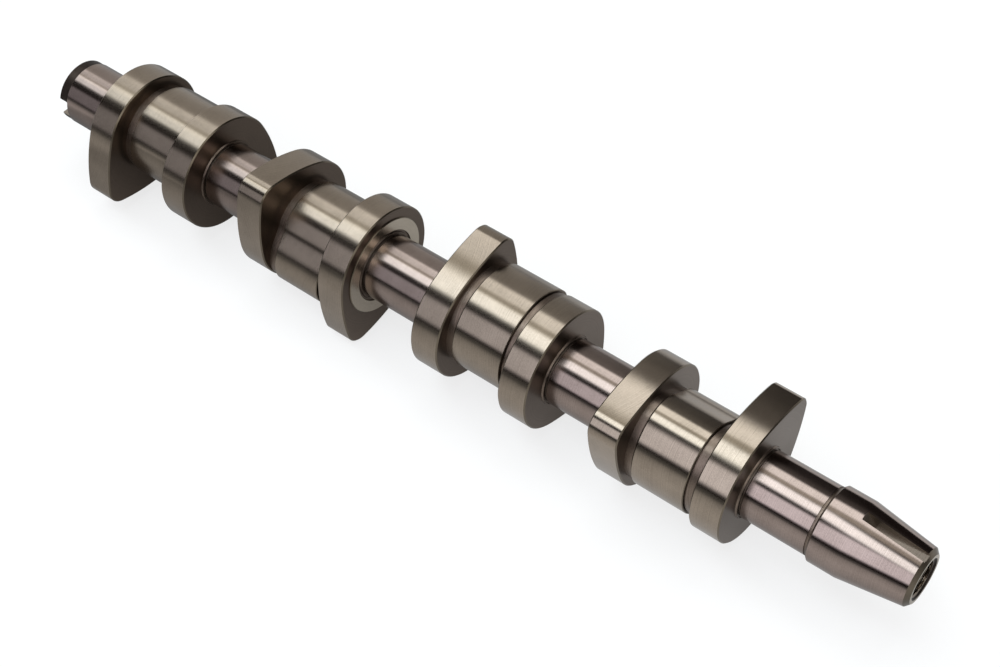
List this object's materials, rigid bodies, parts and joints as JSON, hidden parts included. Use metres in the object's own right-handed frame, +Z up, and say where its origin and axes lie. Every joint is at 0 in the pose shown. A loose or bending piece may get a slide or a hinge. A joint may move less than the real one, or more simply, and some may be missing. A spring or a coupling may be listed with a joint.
{
  "type": "overhead camshaft",
  "caption": "Engine camshaft with paired valve cams either side of each injector cam, bearing journals between them and a keyed tapered nose.",
  "frame": {"origin": "on the shaft's axis at the middle of its centre journal", "axes": "+X along the shaft towards the tapered sprocket nose, +Z up through the keyway, as the shaft rests on its lobes"},
  "size_m": [0.4247, 0.0604, 0.0604],
  "materials": {
    "cast_steel": "ground bearing faces"
  },
  "bodies": {
    "root": {"camshaft": "cast_steel"}
  },
  "joints": []
}
